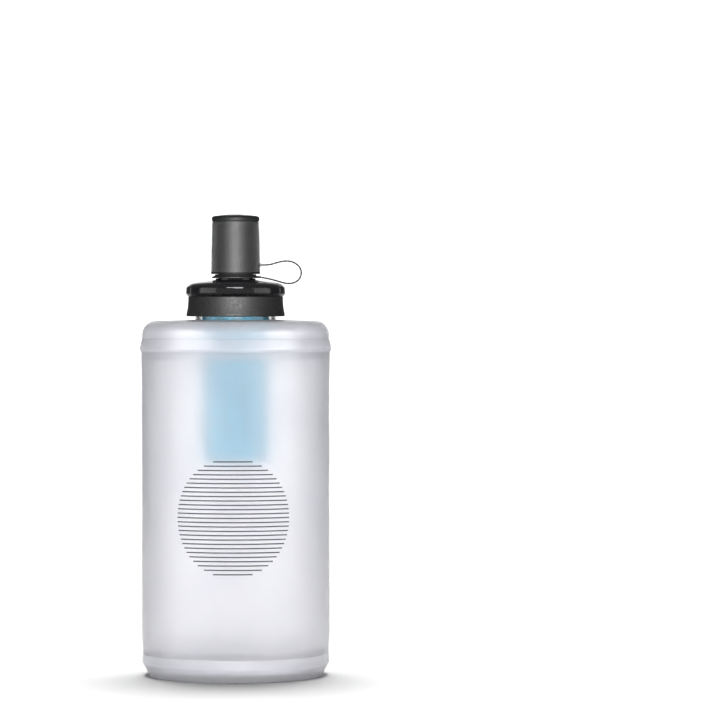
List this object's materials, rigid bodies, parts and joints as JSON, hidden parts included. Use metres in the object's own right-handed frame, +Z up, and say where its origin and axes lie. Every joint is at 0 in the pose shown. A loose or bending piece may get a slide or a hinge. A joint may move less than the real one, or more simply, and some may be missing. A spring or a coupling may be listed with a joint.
{
  "type": "folding water bottle",
  "caption": "Soft folding water bottle with a frosted film body, a screw-on filter cap, a drinking spout and a tethered dust cover.",
  "frame": {"origin": "centre of the foot, on the plane that the bottle stands on", "axes": "+Z up along the bottle's axis, +X towards the side where the tether loop lies"},
  "size_m": [0.1016, 0.1016, 0.2443],
  "materials": {
    "frosted_film": "frosted translucent thermoplastic polyurethane, smooth matte",
    "frosted_moulding": "frosted translucent polyurethane moulding, satin",
    "clear_neck": "clear rigid plastic, polished",
    "gloss_black": "polished black polypropylene",
    "charcoal_grip": "fine spark-grained charcoal plastic, matte",
    "smoke_clear": "smoke-tinted clear plastic, polished",
    "black_silicone": "soft food-grade silicone, matte",
    "grey_silicone": "soft seal silicone, satin",
    "filter_blue": "tinted translucent blue plastic, satin",
    "potting_resin": "cast resin, smooth",
    "fibre_white": "white porous membrane, matte",
    "tether_cord": "thin braided polyester cord, dark grey"
  },
  "bodies": {
    "base": {"base_cup": "frosted_moulding", "base_hoop": "frosted_moulding", "side_wall": "frosted_film"},
    "upper_body": {"shoulder": "frosted_moulding", "upper_band": "frosted_moulding", "neck_collar": "clear_neck"},
    "cap_seal": {"cap_gasket": "grey_silicone"},
    "filter_cap": {"cap_shell": "gloss_black", "grip_band": "charcoal_grip", "mouthpiece": "black_silicone", "filter_head": "filter_blue", "head_o_ring": "black_silicone", "filter_housing": "filter_blue", "filter_end_cap": "filter_blue", "potting_disc": "potting_resin", "hollow_fibres": "fibre_white"},
    "tether_swivel": {"tether_ring": "charcoal_grip", "tether": "tether_cord"},
    "dust_cover": {"cover_liner": "charcoal_grip", "cover_shell": "smoke_clear", "cover_lid": "charcoal_grip", "tether_anchor": "smoke_clear"}
  },
  "joints": [
    {"name": "body_collapse", "type": "slide", "parent": "base", "child": "upper_body", "axis": [0, 0, 1], "range_m": [-0.105, 0], "deforming": ["side_wall"]},
    {"name": "cap_lift", "type": "slide", "parent": "upper_body", "child": "cap_seal", "axis": [0, 0, 1], "range_m": [0, 0.009]},
    {"name": "cap_unscrew", "type": "hinge", "parent": "cap_seal", "child": "filter_cap", "pos_m": [0, 0, 0.1994], "axis": [0, 0, 1], "range_deg": [0, 720]},
    {"name": "cover_swivel", "type": "hinge", "parent": "filter_cap", "child": "tether_swivel", "pos_m": [0, 0, 0.211], "axis": [0, 0, 1], "continuous": true},
    {"name": "cover_lift", "type": "slide", "parent": "tether_swivel", "child": "dust_cover", "axis": [0, 0, 1], "range_m": [0, 0.026], "deforming": ["tether"]}
  ],
  "couplings": [
    {"joint": "cap_lift", "follows": "cap_unscrew", "m_per_rad": 0.0007162}
  ]
}
